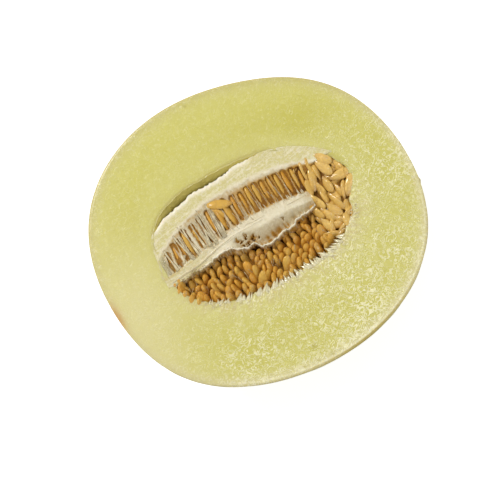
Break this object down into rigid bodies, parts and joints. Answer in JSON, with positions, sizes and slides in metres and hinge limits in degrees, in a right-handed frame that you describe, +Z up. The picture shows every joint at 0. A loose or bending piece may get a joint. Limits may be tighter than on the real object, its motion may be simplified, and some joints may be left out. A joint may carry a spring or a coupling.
{
  "type": "half honeydew melon",
  "caption": "Half of a ripe honeydew melon, cut lengthwise and resting cut face up, with smooth rind, pale green flesh, torn seed pulp and golden seeds in its cavity.",
  "frame": {"origin": "on the ground, below the middle of the melon's outline", "axes": "+X along the core to the stem end, the longest extent; +Z up, out of the cut face, the shortest extent; +Y across the cut face to the side where the pulp has come away from the flesh"},
  "size_m": [0.1532, 0.1406, 0.0697],
  "materials": {
    "flesh": "wet cut flesh",
    "pulp": "moist fibres",
    "seed": "moist satin",
    "loose_seed": "wet gloss"
  },
  "bodies": {
    "root": {"melon_flesh": "flesh", "seed_pulp": "pulp", "seeds_upper_row": "seed", "seeds_lower_bank": "seed", "seeds_end_cluster": "loose_seed"}
  },
  "joints": []
}
